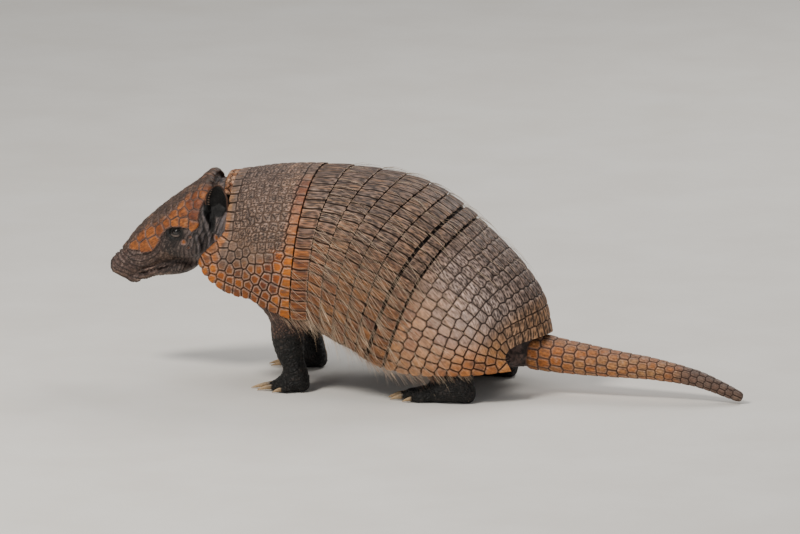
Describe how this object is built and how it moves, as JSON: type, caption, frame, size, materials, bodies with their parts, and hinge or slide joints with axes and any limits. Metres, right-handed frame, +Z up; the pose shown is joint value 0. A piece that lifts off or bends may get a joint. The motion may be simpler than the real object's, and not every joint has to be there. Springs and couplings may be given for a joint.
{
  "type": "armadillo",
  "caption": "Life-size yellow armadillo standing with an arched, banded shell, low wedge-shaped head, upright ears and a straight tapering tail.",
  "frame": {"origin": "middle of the bounding box on the floor the feet stand on", "axes": "+X toward the tail tip (the head is toward -X), +Y toward the animal's right side, +Z up"},
  "size_m": [0.6093, 0.1764, 0.2052],
  "materials": {
    "shell": "dusty horny scutes over bone, semi-matte",
    "skin": "dark wrinkled, scaly skin, matte",
    "claw": "worn horn, satin",
    "eye": "wet, glossy",
    "nose": "moist, fine-grained"
  },
  "bodies": {
    "root": {"band_1": "shell", "band_2": "shell", "band_3": "shell", "band_4": "shell", "band_5": "shell", "band_6": "shell", "band_7": "shell", "ear_left": "skin", "ear_right": "skin", "eye_left": "eye", "eye_right": "eye", "foreclaw_1_left": "claw", "foreclaw_1_right": "claw", "foreclaw_2_left": "claw", "foreclaw_2_right": "claw", "foreclaw_3_left": "claw", "foreclaw_3_right": "claw", "foreclaw_4_left": "claw", "foreclaw_4_right": "claw", "foreclaw_5_left": "claw", "foreclaw_5_right": "claw", "forefoot_left": "skin", "forefoot_right": "skin", "foreleg_left": "skin", "foreleg_right": "skin", "head": "skin", "head_shield": "shell", "hindclaw_1_left": "claw", "hindclaw_1_right": "claw", "hindclaw_2_left": "claw", "hindclaw_2_right": "claw", "hindclaw_3_left": "claw", "hindclaw_3_right": "claw", "hindclaw_4_left": "claw", "hindclaw_4_right": "claw", "hindclaw_5_left": "claw", "hindclaw_5_right": "claw", "hindfoot_left": "skin", "hindfoot_right": "skin", "hindleg_left": "skin", "hindleg_right": "skin", "lower_jaw": "skin", "neck": "skin", "nose": "nose", "nuchal_band": "shell", "pelvic_shield": "shell", "scapular_shield": "shell", "tail_base": "skin", "tail_middle": "skin", "tail_tip": "skin", "trunk": "skin"}
  },
  "joints": []
}
